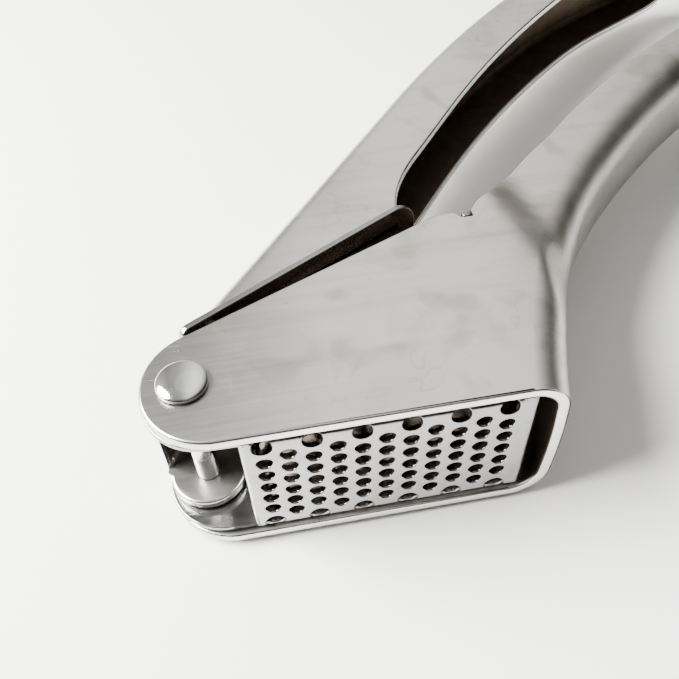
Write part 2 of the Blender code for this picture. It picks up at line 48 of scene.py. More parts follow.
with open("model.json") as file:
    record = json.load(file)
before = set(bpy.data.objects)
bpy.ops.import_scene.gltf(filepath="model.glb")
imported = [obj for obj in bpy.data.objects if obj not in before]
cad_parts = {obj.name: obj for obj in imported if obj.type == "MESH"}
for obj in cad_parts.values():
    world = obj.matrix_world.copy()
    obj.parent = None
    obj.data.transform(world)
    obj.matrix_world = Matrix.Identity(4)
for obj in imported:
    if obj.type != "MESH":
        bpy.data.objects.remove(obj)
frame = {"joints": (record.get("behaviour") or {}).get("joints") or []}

MM = 0.001
PIVOT = Vector(frame["joints"][0]["pos_m"])
FRAME_LOW, FRAME_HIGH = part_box("frame_with_lower_handle")
HOPPER_LOW, HOPPER_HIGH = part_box("hopper")
HANDLE_LOW, HANDLE_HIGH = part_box("upper_handle")
PIN_LOW, PIN_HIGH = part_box("pivot_pin")
FRAME_SPAN = FRAME_HIGH.z - FRAME_LOW.z


def length(name, description, millimetres):
    """A length property; its default is given in millimetres."""
    return FloatProperty(
        name=name, description=description, default=millimetres * MM, min=0.0, precision=5,
        unit="LENGTH", subtype="DISTANCE",
    )


def angle(name, description, degrees):
    return FloatProperty(
        name=name, description=description, default=math.radians(degrees), unit="ROTATION", subtype="ANGLE",
    )


def colour(name, description, value):
    return FloatVectorProperty(
        name=name, description=description, default=value, min=0.0, max=1.0, subtype="COLOR",
    )


def share(name, description, value, highest=1.0):
    return FloatProperty(name=name, description=description, default=value, min=0.0, max=highest)


class Sizes:
    """Reads a property group's lengths in millimetres and its angles in degrees."""

    def __init__(self, group):
        self.group = group

    def __getattr__(self, name):
        value = getattr(self.group, name)
        unit = self.group.bl_rna.properties[name].unit
        if unit == "LENGTH":
            return value / MM
        return math.degrees(value) if unit == "ROTATION" else value


class PressFitSizes(bpy.types.PropertyGroup):
    """Sizes that several pieces share."""

    opening: angle("Opening", "How far the upper handle stands open as the press lies", 5.5)
    gap: length("Seat gap", "Between pieces that seat on each other", 0.3)
    running: length("Running gap", "Between pieces that slide past each other", 0.35)
    edge: length("Edge rounding", "Radius that deburring leaves on the frame's and handle's edges", 0.4)


class PressFrameSizes(bpy.types.PropertyGroup):
    """Sizes of the frame and the lower handle."""

    sheet: length("Sheet", "Thickness of the frame's and the handles' sheet", 1.5)
    width: length("Width", "Over the two cheeks", FRAME_SPAN / MM)
    corner: length("Corner", "Outer radius of the bends between web and cheeks", 4.6)
    crown: length("Crown", "How far the web bulges between its bends", 0.7)
    front: length("Front reach", "From the rivet's axis to the front edges", -FRAME_LOW.y / MM)
    tip: length("Tip reach", "From the rivet's axis to the rounded tips", -FRAME_LOW.x / MM)
    back: length("Back reach", "From the rivet's axis to the sloping back edges", 7.0)
    back_angle: angle("Back angle", "Slope of the back edges", 23.5)
    back_length: length("Back length", "Along the straight of the back edges", 41.5)
    web: length("Web reach", "From the rivet's axis to the web at the front edge", 45.3)
    web_heading: angle("Web heading", "Direction in which the web leaves the front edge", 74.2)
    handle_width: length("Handle width", "Over the lower handle's sides", 19.2)
    notch_width: length("Notch width", "Of the notches that hold the hopper's lip", 2.8)
    notch_depth: length("Notch depth", "Of the notches that hold the hopper's lip", 1.6)
    notch_slope: length("Notch slope", "How far a notch's near side leans", 1.1)


class PressHandleSizes(bpy.types.PropertyGroup):
    """Sizes of the upper handle and its plunger."""

    width: length("Width", "Over the upper handle's sides", (HANDLE_HIGH.z - HANDLE_LOW.z) / MM)
    corner: length("Corner", "Outer radius of the channel's bends", 2.6)
    heading: angle("Heading", "Direction of the channel as it leaves the rivet", 46.0)
    reach: length("Reach", "From the rivet's axis to the back of the channel", 7.3)
    ear: length("Ear radius", "Of the ears round the rivet", 5.2)
    plate: length("Plate", "Thickness of the plunger's plate", 0.9)
    plate_start: length("Plate start", "From the rivet to the plate's near end", 4.0)
    plate_length: length("Plate length", "Of the plunger's plate", 40.2)
    plate_corner: length("Plate corner", "Radius of the plate's far corners", 4.0)
    plate_fork: length("Plate fork", "Depth of the slot round the handle's sides", 6.3)
    box_sheet: length("Box sheet", "Thickness of the plunger's box", 1.0)
    box_corner: length("Box corner", "Radius of the plunger's pressing edges", 1.2)


class PressHopperSizes(bpy.types.PropertyGroup):
    """Sizes of the perforated hopper."""

    sheet: length("Sheet", "Thickness of the hopper's sheet", 0.9)
    width: length("Width", "Over the hopper's side walls", 20.4)
    corner: length("Corner", "Outer radius of the hopper's bends", 2.0)
    front: length("Front reach", "From the rivet's axis to the perforated face", -HOPPER_LOW.y / MM)
    start: length("Start", "From the rivet's axis to the near wall", 5.5)
    length: length("Length", "Of the perforated face", 36.5)
    ear: length("Ear radius", "Of the ears round the rivet", 7.8)
    ear_along: length("Ear place", "From the rivet's axis along the press to the ears' middle", 2.3)
    ear_drop: length("Ear drop", "From the rivet's axis down to the ears' middle", 0.5)
    end_wall: length("Near wall", "Height of the near wall above the rivet's axis", 2.0)
    hole: length("Hole", "Diameter of a perforation", 2.0)
    flare: length("Flare", "Rounding of a perforation's mouth", 0.22)
    pitch: length("Pitch", "Between columns of perforations", 3.0)
    row_pitch: length("Row pitch", "Between perforations in a column", 2.7)
    first: length("First column", "From the rivet's axis to the first column", 8.2)
    columns: IntProperty(name="Columns", description="Number of columns of perforations", default=11)
    rows: IntProperty(name="Rows", description="Perforations in a long column", default=7)
    bend_hole: length("Bend hole", "Diameter of a perforation on a bend", 2.5)
    bend_angle: angle("Bend hole angle", "Slant of a perforation on a bend", 14.0)


class PressRivetSizes(bpy.types.PropertyGroup):
    """Sizes of the rivet's two halves."""

    shank: length("Shank", "Diameter of the pin's shank", 3.3)
    head: length("Head", "Diameter of the heads", (PIN_HIGH.x - PIN_LOW.x) / MM)
    rim: length("Rim", "Height of a head's straight rim", 0.30)
    rise: length("Rise", "Height of the upper head", 1.15)
    cap_rise: length("Lower rise", "Height of the lower head", 0.9)
    land: length("Land", "Radius of the lower head's flat", 2.0)
    stud: length("Stud", "Diameter of the stud in the pin", 2.1)
    stud_length: length("Stud length", "How far the stud reaches into the pin", 6.0)
    seat: length("Seat gap", "Under the heads", 0.2)
    bore: length("Bore gap", "Radial play round the pin", 0.06)


class PressSteelColours(bpy.types.PropertyGroup):
    """Colours and polish of the steel."""

    satin: colour("Satin steel", "Frame and handles", (0.70, 0.69, 0.655))
    # Dark satin: a darker tone of the steel, painted shade on the sides and bends, and the darker tips.
    satin_dark: colour("Handled steel", "Where the satin is dulled", (0.24, 0.235, 0.22))
    # Dark brown: tarnish with painted shade inside the channels and on the plunger's hidden faces.
    tarnish: colour("Tarnish", "Inside the channels, where no polish reaches", (0.13, 0.09, 0.058))
    stain: colour("Water stain", "Outlines of dried drops", (0.34, 0.30, 0.25))
    bright: colour("Bright steel", "Hopper and plunger", (0.32, 0.32, 0.315))
    mirror: colour("Mirror steel", "Rivet", (0.80, 0.80, 0.80))
    satin_roughness: share("Satin roughness", "Roughness of the frame and the handles", 0.33)
    bright_roughness: share("Bright roughness", "Roughness of the hopper and the plunger", 0.20)
    mirror_roughness: share("Mirror roughness", "Roughness of the rivet", 0.07)


class PressStageSettings(bpy.types.PropertyGroup):
    """Floor, lights and camera."""

    floor: colour("Floor", "Colour of the floor", (0.88, 0.88, 0.86))
    lens: length("Lens", "Focal length on a 36 mm wide sensor", 40.3)
    eye: FloatVectorProperty(
        name="Eye", description="Camera's place from the rivet's middle",
        default=(0.01136, -0.05782, 0.08349), precision=5, unit="LENGTH", subtype="XYZ",
    )
    gaze: FloatVectorProperty(
        name="Gaze", description="Camera's rotation",
        default=(math.radians(40.72), math.radians(1.90), math.radians(-9.876)), unit="ROTATION",
        subtype="EULER",
    )
    window: share("Window", "Power of the large light, in watts", 18.0, 50.0)
    overhead: share("Overhead", "Power of the overhead light, in watts", 0.10, 50.0)


def sizes(name):
    return Sizes(getattr(bpy.context.scene, name))


# Plan geometry


def direction(degrees):
    return Vector((math.cos(math.radians(degrees)), math.sin(math.radians(degrees))))


def arc(centre, radius, start, end, steps):
    """Points on an arc in plan, both ends included."""
    return [
        Vector(centre) + radius * direction(start + (end - start) * i / steps) for i in range(steps + 1)
    ]


def spread(start, end, steps):
    """Points on a straight line in plan, without its first."""
    return [Vector(start).lerp(Vector(end), i / steps) for i in range(1, steps + 1)]


def curve_between(start, guide, end, steps):
    """Points on a parabola that leaves start and reaches end along the lines to guide, without its first."""
    points = []
    for i in range(1, steps + 1):
        t = i / steps
        points.append((1 - t) ** 2 * Vector(start) + 2 * t * (1 - t) * Vector(guide) + t**2 * Vector(end))
    return points


def smooth(t):
    t = min(max(t, 0.0), 1.0)
    return t * t * (3 - 2 * t)


def between(stops, place):
    """The value at place on a line through the (place, value) stops, level beyond both ends."""
    if place <= stops[0][0]:
        return stops[0][1]
    for (start, low), (end, high) in zip(stops, stops[1:]):
        if place <= end:
            return low + (high - low) * (place - start) / (end - start)
    return stops[-1][1]


class Track:
    """A line in plan that leaves start at a heading and bends to the right along arcs."""

    def __init__(self, start, heading, bends):
        self.start = Vector(start)
        self.heading = heading
        self.bends = bends
        self.length = sum(run for run, radius in bends)

    def at(self, place):
        """The point and the heading at this distance along the line."""
        point, heading = self.start.copy(), self.heading
        for run, radius in self.bends:
            step = min(place, run)
            if radius:
                centre = point + radius * direction(heading - 90)
                turned = math.degrees(step / radius)
                point = centre + radius * direction(heading + 90 - turned)
                heading -= turned
            else:
                point = point + step * direction(heading)
            place -= step
            if place <= 0:
                break
        return point, heading


# Sheet metal


class Channel:
    """A folded sheet with rounded edges, drawn as lines across it from one free edge to the other.

    A station is (web point, inward direction, free edge point, share of the full width). Each line goes
    over one cheek, round the bend, over the web and back by the other cheek.
    """

    CHEEK_STEPS = 7
    BEND_STEPS = 8
    WEB_STEPS = 8
    EDGE_STEPS = 3

    def __init__(self, stations, half_width, bend, crown, sheet, edge):
        self.stations = stations
        self.half_width = half_width
        self.bend = bend
        self.crown = crown
        self.sheet = sheet
        self.edge = edge
        self.shape = bmesh.new()
        self.inside = self.shape.verts.layers.float.new("inside")
        self.worn = self.shape.verts.layers.float.new("worn")
        self.free_sides = self.outward_sides()

    def outward_sides(self):
        """The direction in plan, away from the sheet, at each station's free edge."""
        edges = [station[2] for station in self.stations]
        sides = []
        for i, (web, inward, edge, portion) in enumerate(self.stations):
            before, after = edges[max(i - 1, 0)], edges[min(i + 1, len(edges) - 1)]
            run = (after - before).normalized()
            side = Vector((run.y, -run.x))
            sides.append(side if side.dot(edge - web) > 0 else -side)
        return sides

    def end_side(self, last):
        """The direction in plan in which the sheet ends at its first or last line."""
        here, inner = (self.stations[-1], self.stations[-2]) if last else (self.stations[0], self.stations[1])
        along = (here[2] - here[0]).normalized()
        side = Vector((along.y, -along.x))
        return side if side.dot(here[0] - inner[0] + here[2] - inner[2]) > 0 else -side

    def line(self, k, inset, shift):
        """Points of the line at station k, this deep in the sheet, moved in plan by shift."""
        web, inward, edge, portion = self.stations[k]
        web, edge = web + shift, edge + shift
        side = self.free_sides[k]
        if shift.length:
            away = -shift.normalized()
            side = side - side.dot(away) * away
        edge = edge - self.edge * side
        along = (edge - web).normalized()
        depth = (edge - web).length
        lean = max(along.dot(inward), 0.45)
        corner = max(min(self.bend, 0.6 * depth * lean) - inset, 0.25)
        start = inset / lean
        turn = start + corner / lean
        upper = []

        def place(distance, drop, crown):
            point = web + along * distance
            full = portion * self.half_width(point)
            height = full - inset - corner * drop
            bow = self.crown * crown * (1 - (height / full) ** 2) / lean
            upper.append((point - along * bow, height))

        for i in range(self.CHEEK_STEPS):
            place(depth + (turn - depth) * i / self.CHEEK_STEPS, 0, 0)
        for i in range(self.BEND_STEPS + 1):
            turned = math.radians(90 * i / self.BEND_STEPS)
            place(start + corner * (1 - math.sin(turned)) / lean, 1 - math.cos(turned), math.sin(turned))
        face = web + along * start
        full = portion * self.half_width(face)
        reach = upper[-1][1]
        middle = []
        for i in range(1, self.WEB_STEPS):
            height = reach * (1 - 2 * i / self.WEB_STEPS)
            middle.append((face - along * self.crown * (1 - (height / full) ** 2) / lean, height))
        lower = [(point, -height) for point, height in reversed(upper)]
        return [(point.x, point.y, height) for point, height in upper + middle + lower]

    def add_line(self, points, inset, worn):
        verts = [self.shape.verts.new(point) for point in points]
        for vert in verts:
            vert[self.inside] = inset / self.sheet
            vert[self.worn] = worn
        return verts

    def join(self, first, second):
        for i in range(len(first) - 1):
            corners = list(dict.fromkeys((first[i], first[i + 1], second[i + 1], second[i])))
            if len(corners) > 2:
                self.shape.faces.new(corners)

    def rounding(self):
        """(advance, inset, worn) over a rounded edge, from the outer skin to the inner one."""
        turns = [math.radians(90 * i / self.EDGE_STEPS) for i in range(1, self.EDGE_STEPS + 1)]
        outer = [(self.edge * math.sin(t), self.edge * (1 - math.cos(t)), 1.0) for t in turns]
        inner = [(advance, self.sheet - inset, worn) for advance, inset, worn in reversed(outer)]
        return outer + inner

    def build(self):
        last = len(self.stations) - 1
        still = Vector((0, 0))
        shifts = {0: -self.edge * self.end_side(False), last: -self.edge * self.end_side(True)}
        skins = []
        for inset in (0.0, self.sheet):
            skins.append([
                self.add_line(self.line(k, inset, shifts.get(k, still)), inset, 0.0)
                for k in range(last + 1)
            ])
        outer, inner = skins
        for skin in skins:
            for first, second in zip(skin, skin[1:]):
                self.join(first, second)
        ends = {}
        for k in (0, last):
            lines = [outer[k]]
            away = -shifts[k]
            for advance, inset, worn in self.rounding():
                points = self.line(k, inset, shifts[k])
                step = away.normalized() * advance
                moved = [(x + step.x, y + step.y, z) for x, y, z in points]
                lines.append(self.add_line(moved, inset, worn))
            lines.append(inner[k])
            for first, second in zip(lines, lines[1:]):
                self.join(first, second)
            ends[k] = lines
        for end in (0, -1):
            sign = 1 if end == 0 else -1
            rims = []
            for k in range(last + 1):
                base = Vector(outer[k][end].co)
                side = self.free_sides[k]
                rim = [outer[k][end]]
                for advance, inset, worn in self.rounding():
                    point = (base.x + side.x * advance, base.y + side.y * advance, base.z - sign * inset)
                    rim += self.add_line([point], inset, worn)
                rims.append([*rim, inner[k][end]])
            for first, second in zip(rims, rims[1:]):
                self.join(first, second)
            for k in (0, last):
                self.join(rims[k], [line[end] for line in ends[k]])
        bmesh.ops.remove_doubles(self.shape, verts=self.shape.verts, dist=0.002)
        bmesh.ops.dissolve_degenerate(self.shape, edges=self.shape.edges, dist=0.001)
        return self.shape


def prism(outline, low, high):
    """A bmesh of a plan outline, extruded between two heights."""
    shape = bmesh.new()
    face = shape.faces.new([shape.verts.new((p[0], p[1], low)) for p in outline])
    grown = bmesh.ops.extrude_face_region(shape, geom=[face])["geom"]
    risen = [v for v in grown if isinstance(v, bmesh.types.BMVert)]
    bmesh.ops.translate(shape, vec=(0, 0, high - low), verts=risen)
    return shape


def soften(shape, radius, steps, chosen):
    """Rounds the edges whose two ends are both chosen."""
    edges = [e for e in shape.edges if all(chosen(v.co) for v in e.verts)]
    bmesh.ops.bevel(
        shape, geom=edges, offset=radius, offset_type="OFFSET", segments=steps, profile=0.5,
        affect="EDGES", clamp_overlap=True,
    )


def turned(profile, sides):
    """A bmesh spun about the rivet's axis from (radius, height) points that run from axis to axis."""
    shape = bmesh.new()
    verts = [shape.verts.new((radius, 0, height)) for radius, height in profile]
    edges = [shape.edges.new(pair) for pair in zip(verts, verts[1:])]
    bmesh.ops.spin(
        shape, geom=verts + edges, cent=(0, 0, 0), axis=(0, 0, 1), angle=math.tau, steps=sides,
        use_merge=True,
    )
    bmesh.ops.remove_doubles(shape, verts=shape.verts, dist=0.001)
    return shape


def new_object(name, shape, opening=0.0):
    """Turns a bmesh in millimetres about the rivet's middle into an object in the frame's own place."""
    bmesh.ops.recalc_face_normals(shape, faces=shape.faces)
    place = Matrix.Translation(PIVOT) @ Matrix.Rotation(math.radians(opening), 4, "Z") @ Matrix.Scale(MM, 4)
    bmesh.ops.transform(shape, matrix=place, verts=shape.verts)
    mesh = bpy.data.meshes.new(name)
    shape.to_mesh(mesh)
    shape.free()
    piece = bpy.data.objects.new(name, mesh)
    bpy.context.scene.collection.objects.link(piece)
    return piece


def carve(piece, cutter, operation="DIFFERENCE"):
    """Cuts with, or joins, another object and removes it."""
    modifier = piece.modifiers.new("carve", "BOOLEAN")
    modifier.operation = operation
    modifier.object = cutter
    modifier.solver = "EXACT"
    graph = bpy.context.evaluated_depsgraph_get()
    carved = bpy.data.meshes.new_from_object(piece.evaluated_get(graph))
    piece.modifiers.clear()
    piece.data = carved
    bpy.data.objects.remove(cutter)


def finish_piece(piece, body, node, steel, sharp=40):
    """Shades a piece, gives it its steel, and puts it in the place of its node."""
    piece.data.materials.clear()
    piece.data.materials.append(steel)
    piece.data.shade_smooth()
    piece.data.set_sharp_from_angle(angle=math.radians(sharp))
    weighted = piece.modifiers.new("flat faces stay flat", "WEIGHTED_NORMAL")
    weighted.keep_sharp = True
    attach(piece, body)
    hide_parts(node)


def bore():
    """A cutter for the rivet's holes."""
    rivet, reach = sizes("press_rivet"), FRAME_SPAN / MM
    radius = rivet.shank / 2 + rivet.bore
    return new_object("bore_cutter", prism(arc((0, 0), radius, 0, 352.5, 47), -reach, reach))


# Steel


class Wire:
    """A value between nodes, on which sums are written as ordinary arithmetic."""

    def __init__(self, nodes, socket):
        self.nodes = nodes
        self.socket = socket

    def math(self, operation, *values, clamp=False):
        settings = {"operation": operation, "use_clamp": clamp}
        return self.nodes.add("ShaderNodeMath", settings, dict(enumerate(values)))

    def __add__(self, other):
        return self.math("ADD", self, other)

    def __sub__(self, other):
        return self.math("SUBTRACT", self, other)

    def __rsub__(self, other):
        return self.math("SUBTRACT", other, self)

    def __mul__(self, other):
        return self.math("MULTIPLY", self, other)

    __radd__ = __add__
    __rmul__ = __mul__

    def power(self, exponent):
        return self.math("POWER", self, exponent)

    def rise(self, start, end):
        """0 below start, 1 above end, and smooth between."""
        inputs = {"Value": self, "From Min": start, "From Max": end}
        return self.nodes.add("ShaderNodeMapRange", {"interpolation_type": "SMOOTHSTEP"}, inputs)

    def band(self, centre, half):
        """1 at a value and 0 farther from it than half."""
        return 1 - self.math("ABSOLUTE", self - centre).rise(0, half)


class Nodes:
    """The nodes of a material or of the room."""

    def __init__(self, owner):
        owner.use_nodes = True
        self.tree = owner.node_tree

    def add(self, kind, settings=None, inputs=None, output=0):
        """Adds a node, sets it, feeds it, and returns one of its outputs."""
        node = self.tree.nodes.new(kind)
        for key, value in (settings or {}).items():
            if key == "stops":
                self.set_ramp(node.color_ramp, value)
            else:
                setattr(node, key, value)
        for key, value in (inputs or {}).items():
            self.feed(node.inputs[key], value)
        return Wire(self, node.outputs[output])

    def feed(self, socket, value):
        if isinstance(value, Wire):
            self.tree.links.new(value.socket, socket)
        else:
            socket.default_value = value

    def set_ramp(self, ramp, stops):
        """Sets a colour ramp from (place, colour) stops."""
        ramp.elements.remove(ramp.elements[1])
        for i, (place, tone) in enumerate(stops):
            stop = ramp.elements[0] if i == 0 else ramp.elements.new(place)
            stop.position = place
            stop.color = (*tone, 1)

    def mix(self, amount, first, second, blend="MIX"):
        """A colour between two colours."""
        pair = [v if isinstance(v, Wire) else (*v, 1.0) for v in (first, second)]
        inputs = {"Factor": amount, 6: pair[0], 7: pair[1]}
        return self.add("ShaderNodeMix", {"data_type": "RGBA", "blend_type": blend}, inputs, 2)


class Steel(Nodes):
    """A steel finish, made of nodes."""

    def __init__(self, name, roughness):
        self.material = bpy.data.materials.new(name)
        super().__init__(self.material)
        self.shader = self.tree.nodes["Principled BSDF"]
        self.feed(self.shader.inputs["Metallic"], 1.0)
        self.feed(self.shader.inputs["Roughness"], roughness)
        self.position = self.add("ShaderNodeTexCoord", output="Object")

    def stretched(self, scale, turn=(0, 0, 0)):
        """The place on the piece, scaled apart along each axis after a turn."""
        inputs = {"Vector": self.position, "Scale": scale, "Rotation": turn}
        return self.add("ShaderNodeMapping", {"vector_type": "POINT"}, inputs)

    def noise(self, place, scale, detail=3.0, roughness=0.55, distortion=0.0):
        inputs = {
            "Vector": place, "Scale": scale, "Detail": detail, "Roughness": roughness,
            "Distortion": distortion,
        }
        return self.add("ShaderNodeTexNoise", {"noise_dimensions": "3D"}, inputs)

    def attribute(self, name):
        return self.add("ShaderNodeAttribute", {"attribute_name": name}, output="Fac")

    def bump(self, *heights):
        """Lays bumps over each other; each is (height, strength, distance in metres)."""
        normal = None
        for height, strength, distance in heights:
            inputs = {"Height": height, "Strength": strength, "Distance": distance}
            if normal:
                inputs["Normal"] = normal
            normal = self.add("ShaderNodeBump", inputs=inputs)
        self.feed(self.shader.inputs["Normal"], normal)

    def scratches(self, turn, scale, level):
        """Thin, long, sparse lines."""
        place = self.stretched((scale * 0.035, scale, scale), (0, 0, turn))
        return self.noise(place, 1.0, 2.0).rise(level, level + 0.035)


def satin_steel(name, brush_turn, fade):
    """Sheet brushed along one direction, darker towards the tips, with painted shade on its sides and bends,
    and marked by drops and scratches.

    The inner skin gets tarnish and painted shade beyond a distance along the press, given as where that
    starts and is full.
    """
    tones = bpy.context.scene.press_steel
    steel = Steel(name, tones.satin_roughness)
    across = steel.stretched((60, 2600, 2600), (0, 0, brush_turn))
    brush = steel.noise(across, 1.0, 3.0, 0.65)
    broad = steel.noise(steel.position, 38.0, 3.0, 0.5)
    cloud = steel.noise(steel.position, 120.0, 5.0, 0.6, 0.6)
    drops = steel.noise(steel.position, 150.0, 2.0, 0.4, 0.9)
    outline = drops.band(0.58, 0.016) * broad.rise(0.44, 0.56)
    spots = steel.noise(steel.position, 105.0, 2.5, 0.5, 0.4).rise(0.56, 0.70)
    streaks = steel.noise(steel.stretched((22, 420, 420), (0, 0, brush_turn)), 1.0, 3.0, 0.6)
    specks = steel.noise(steel.position, 900.0, 1.0).rise(0.74, 0.80)
    scratches = steel.scratches(0.5, 3200, 0.70) + steel.scratches(-1.0, 2600, 0.72)
    inside = steel.attribute("inside")
    worn = steel.attribute("worn")
    surface = steel.mix(broad.rise(0.40, 0.75) * 0.30, tones.satin, tones.satin_dark)
    surface = steel.mix(cloud.rise(0.50, 0.78) * 0.38, surface, tones.stain)
    surface = steel.mix(outline * 0.35, surface, tones.stain)
    surface = steel.mix(spots * 0.45, surface, tones.stain)
    surface = steel.mix(streaks.rise(0.45, 0.80) * 0.25, surface, tones.satin_dark)
    surface = steel.mix(specks * 0.35, surface, tones.stain)
    # Painted shade: faces that are not level (the webs, sides and bends) are darkened towards the dark satin
    # colour.
    facing = steel.add("ShaderNodeNewGeometry", output="Normal")
    upright = steel.add("ShaderNodeSeparateXYZ", inputs={"Vector": facing}, output="Z")
    side = (1 - upright.math("ABSOLUTE", upright).rise(0.25, 0.95)) * (1 - inside) * (1 - worn)
    surface = steel.mix(side * 0.95, surface, tones.satin_dark)
    # Darker towards the tips, at small x.
    place = steel.add("ShaderNodeSeparateXYZ", inputs={"Vector": steel.position})
    toward_tips = 1 - place.rise(-4 * MM, 20 * MM)
    surface = steel.mix(toward_tips * (0.80 + cloud * 0.35), surface, tones.satin_dark)
    # Tarnish and painted shade: the inner skin turns dark brown, starting at a distance along the press.
    tarnish = inside.rise(0.80, 0.98) * (1 - worn) * place.rise(fade[0] * MM, fade[1] * MM)
    surface = steel.mix(tarnish * (0.80 + cloud * 0.30), surface, tones.tarnish)
    surface = steel.mix(worn * 0.6, surface, tones.mirror)
    steel.feed(steel.shader.inputs["Base Color"], surface)
    rough = tones.satin_roughness - 0.08 + brush * 0.14 + cloud.rise(0.4, 0.8) * 0.08
    rough = rough + tarnish * 0.14 - worn * 0.12 + outline * 0.06
    steel.feed(steel.shader.inputs["Roughness"], rough)
    steel.bump(
        (brush, 0.25, 0.00004), (streaks, 0.2, 0.00008), (scratches, 0.35, 0.00003), (broad, 0.6, 0.0003),
    )
    return steel.material


def bright_steel(name):
    """Bright sheet with a fine brush."""
    tones = bpy.context.scene.press_steel
    steel = Steel(name, tones.bright_roughness)
    brush = steel.noise(steel.stretched((90, 3000, 3000)), 1.0, 2.0, 0.6)
    broad = steel.noise(steel.position, 95.0, 3.0, 0.5)
    smear = steel.noise(steel.position, 300.0, 4.0, 0.6, 0.7)
    scratches = steel.scratches(0.25, 3600, 0.70)
    surface = steel.mix(smear.rise(0.45, 0.72) * 0.5, tones.bright, tones.satin_dark)
    # Tarnish and painted shade on the marked hidden faces: the plate's face towards the hopper and the whole
    # box.
    surface = steel.mix(steel.attribute("inside") * (0.55 + smear * 0.4), surface, tones.tarnish)
    steel.feed(steel.shader.inputs["Base Color"], surface)
    rough = tones.bright_roughness - 0.05 + brush * 0.08 + smear.rise(0.4, 0.8) * 0.10
    steel.feed(steel.shader.inputs["Roughness"], rough)
    steel.bump(
        (brush, 0.15, 0.00003), (scratches, 0.4, 0.00003), (smear, 0.3, 0.00006), (broad, 0.8, 0.0004),
    )
    return steel.material


def mirror_steel(name):
    """Polished rivet steel with hairlines."""
    tones = bpy.context.scene.press_steel
    steel = Steel(name, tones.mirror_roughness)
    smear = steel.noise(steel.position, 420.0, 4.0, 0.6)
    hairs = steel.scratches(0.9, 5200, 0.66) + steel.scratches(-0.4, 4600, 0.68)
    surface = steel.mix(smear.rise(0.45, 0.75) * 0.25, tones.mirror, tones.satin)
    steel.feed(steel.shader.inputs["Base Color"], surface)
    steel.feed(steel.shader.inputs["Roughness"], tones.mirror_roughness + smear.rise(0.4, 0.8) * 0.10)
    steel.bump((hairs, 0.2, 0.00001), (smear, 0.25, 0.00004))
    return steel.material


# Outlines that pieces share


def tip_circle(s):
    """Centre and radius of the rounded tips, which meet the front and back edges."""
    slope = math.radians(s.back_angle)
    radius = (s.back - s.tip * math.sin(slope) + s.front * math.cos(slope)) / (
        1 + math.cos(slope) - math.sin(slope)
    )
    return Vector((radius - s.tip, radius - s.front)), radius


def back_line(place, reach):
    """A point this far along the frame's back edge, at this distance from the rivet's axis."""
    slope = sizes("press_frame").back_angle
    return place * direction(slope) + reach * direction(slope + 90)


def notch(s):
    """Where the back edge turns level, and the notch's left, right, top and bottom."""
    corner = back_line(s.back_length + 2.4, s.back)
    left = corner.x + 2.1
    return corner, (left, left + s.notch_width, corner.y, corner.y - s.notch_depth)


def plate_reach():
    """From the rivet's axis to the plunger plate's front face."""
    return sizes("press_frame").back + sizes("press_fit").running / 2


def far_wall_radius(h):
    """The far wall is round the rivet's axis, so that the plunger sweeps along it."""
    return math.hypot(h.start + h.length, h.front)


class HandleEnd:
    """How a handle narrows and closes, like the bow of a boat, at its far end."""

    RADIUS = 6.4
    TAPER = 14.0
    LEAST = 0.45
    STEPS = 16

    @classmethod
    def share(cls, track, place):
        """How much of its full width a handle keeps at this distance along its track."""
        t = (place - track.length + cls.TAPER) / (cls.TAPER + cls.RADIUS * math.pi / 2)
        t = min(max(t, 0.0), 1.0)
        return cls.LEAST + (1 - cls.LEAST) * math.sqrt(1 - t * t)

    @classmethod
    def stations(cls, track, side, first, depths, steps):
        """Stations along a handle and round its end; side is 1 where it opens to the left, else -1."""
        stations = []
        for i in range(steps + 1):
            place = first + (track.length - first) * i / steps
            web, heading = track.at(place)
            inward = direction(heading + 90 * side)
            stations.append((web, inward, web + between(depths, place) * inward, cls.share(track, place)))
        web, heading = track.at(track.length)
        inward = direction(heading + 90 * side)
        ahead = direction(heading)
        centre = web + cls.RADIUS * inward
        depth = between(depths, track.length)
        for i in range(1, cls.STEPS + 1):
            swing = math.radians(84 * i / cls.STEPS)
            outward = ahead * math.sin(swing) - inward * math.cos(swing)
            edge = web + depth * inward + 0.8 * cls.RADIUS * math.sin(swing) * ahead
            portion = cls.share(track, track.length + cls.RADIUS * swing)
            stations.append((centre + cls.RADIUS * outward, -outward, edge, portion))
        return stations


def stations_over(stretches, track, side):
    """Stations for runs of free-edge points, each run spread over a stretch of the track."""
    stations = []
    for edges, start, end in stretches:
        for i, edge in enumerate(edges):
            web, heading = track.at(start + (end - start) * i / (len(edges) - 1))
            stations.append((web, direction(heading + 90 * side), Vector(edge), 1.0))
    return stations


# Pieces


